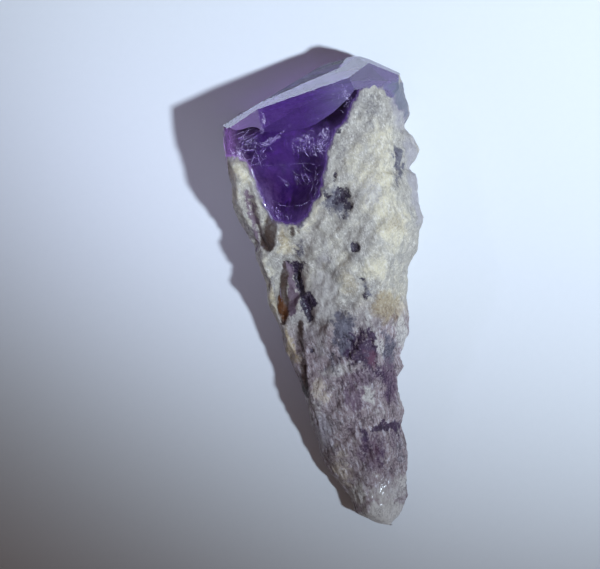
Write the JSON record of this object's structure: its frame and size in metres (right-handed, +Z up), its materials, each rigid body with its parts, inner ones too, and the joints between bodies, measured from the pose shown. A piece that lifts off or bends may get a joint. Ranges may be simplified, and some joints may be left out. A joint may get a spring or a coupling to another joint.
{
  "type": "amethyst point",
  "caption": "Natural amethyst point with a polished crown, a clear purple window and a long tapering crusted root, lying on its side on a flat patch.",
  "frame": {"origin": "on the surface it rests on, under the middle of the stone's bounding box", "axes": "+Y along the stone towards the crown, +Z up from the flat patch it rests on, +X across to the lumpy side"},
  "size_m": [0.0372, 0.0908, 0.0212],
  "materials": {
    "amethyst": "deep purple see-through crystal with polished crown faces, under a rough cream, grey and violet crust"
  },
  "bodies": {
    "root": {"amethyst_point": "amethyst"}
  },
  "joints": []
}
